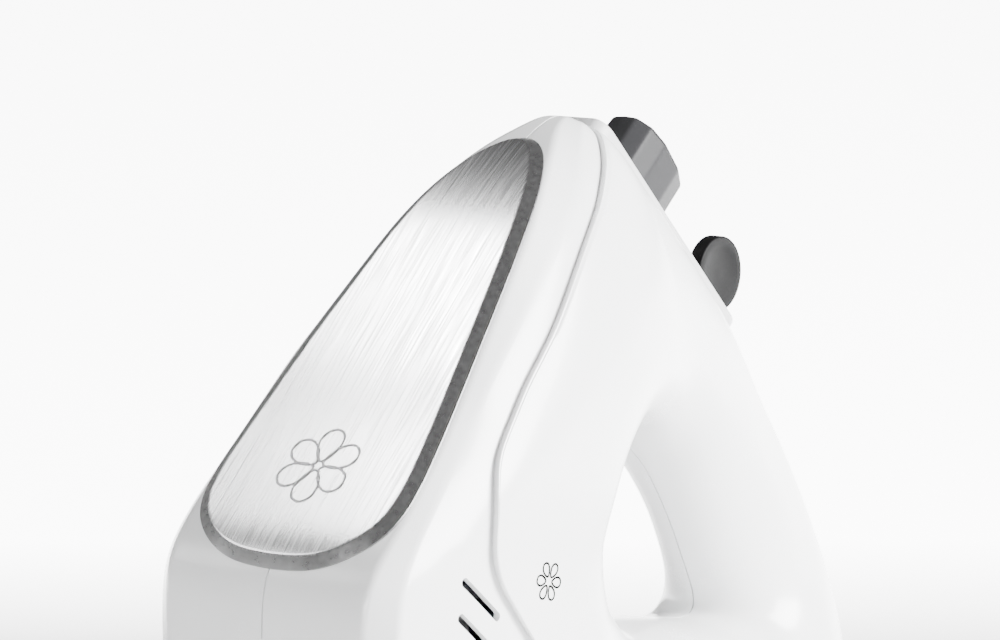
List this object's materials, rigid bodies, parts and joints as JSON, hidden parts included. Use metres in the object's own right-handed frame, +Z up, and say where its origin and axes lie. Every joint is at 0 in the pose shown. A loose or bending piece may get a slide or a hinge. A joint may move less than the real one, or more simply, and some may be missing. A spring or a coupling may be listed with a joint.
{
  "type": "hand mixer motor unit",
  "caption": "Hand mixer body with an angled loop handle, brushed front panel, eject button, sideways speed slider and a worm drive to twin beater sockets.",
  "frame": {"origin": "on the flat underside of the base, on the centre plane, 62 mm behind the beater sockets", "axes": "+Z up, -Y towards the brushed front panel, +X towards the side with no screws"},
  "size_m": [0.08, 0.2236, 0.1642],
  "materials": {
    "white_plastic": "gloss",
    "brushed_metal": "brushed",
    "grey_plastic": "satin",
    "dark_grey_plastic": "matt",
    "black_plastic": "matt",
    "bronze": "plain",
    "lamination_steel": "plain",
    "copper": "enamelled",
    "carbon": "matt",
    "board_green": "satin",
    "rubber": "matt",
    "screw_steel": "plain",
    "dark_button": "satin",
    "gear_nylon": "satin"
  },
  "bodies": {
    "housing": {"housing_left": "white_plastic", "housing_right": "white_plastic", "front_panel": "brushed_metal", "emblem": "brushed_metal", "control_strip": "grey_plastic", "base_plate": "dark_grey_plastic", "gearbox_frame": "black_plastic", "spindle_bushes": "bronze", "front_bearing": "bronze", "rear_bearing": "bronze", "motor_cradle": "black_plastic", "field_stack": "lamination_steel", "field_coils": "copper", "brush_holders": "black_plastic", "carbon_brushes": "carbon", "circuit_board": "board_green", "switch_module": "black_plastic", "cord_gland": "rubber", "housing_screws": "screw_steel", "base_screws": "screw_steel"},
    "eject_button": {"eject_button": "dark_button", "eject_stem": "grey_plastic"},
    "ejector": {"ejector_fork": "grey_plastic", "eject_spring": "screw_steel"},
    "speed_slider": {"speed_slider": "black_plastic", "slider_carriage": "black_plastic"},
    "rotor": {"rotor_shaft": "screw_steel", "armature_core": "lamination_steel", "armature_windings": "copper", "commutator": "copper", "fan": "black_plastic", "worm": "screw_steel"},
    "drive_left": {"gear_left": "gear_nylon", "spindle_left": "screw_steel"},
    "drive_right": {"gear_right": "gear_nylon", "spindle_right": "screw_steel"}
  },
  "joints": [
    {"name": "eject_press", "type": "slide", "parent": "housing", "child": "eject_button", "axis": [0, -0.766, -0.6428], "range_m": [0, 0.008], "stiffness_N_per_m": 400, "springref_m": -0.02},
    {"name": "ejector_drop", "type": "slide", "parent": "housing", "child": "ejector", "axis": [0, 0, -1], "range_m": [0, 0.008], "deforming": ["eject_spring"]},
    {"name": "speed_slide", "type": "slide", "parent": "housing", "child": "speed_slider", "axis": [1, 0, 0], "range_m": [-0.014, 0.002]},
    {"name": "rotor_spin", "type": "hinge", "parent": "housing", "child": "rotor", "pos_m": [0, -0.03, 0.027], "axis": [0, 1, 0], "continuous": true},
    {"name": "drive_left_spin", "type": "hinge", "parent": "housing", "child": "drive_left", "pos_m": [-0.0178, -0.062, 0.027], "axis": [0, 0, 1], "continuous": true},
    {"name": "drive_right_spin", "type": "hinge", "parent": "housing", "child": "drive_right", "pos_m": [0.0178, -0.062, 0.027], "axis": [0, 0, 1], "continuous": true}
  ],
  "couplings": [
    {"joint": "ejector_drop", "follows": "eject_press", "ratio": 1},
    {"joint": "drive_left_spin", "follows": "rotor_spin", "ratio": 0.071429},
    {"joint": "drive_right_spin", "follows": "rotor_spin", "ratio": -0.071429}
  ]
}
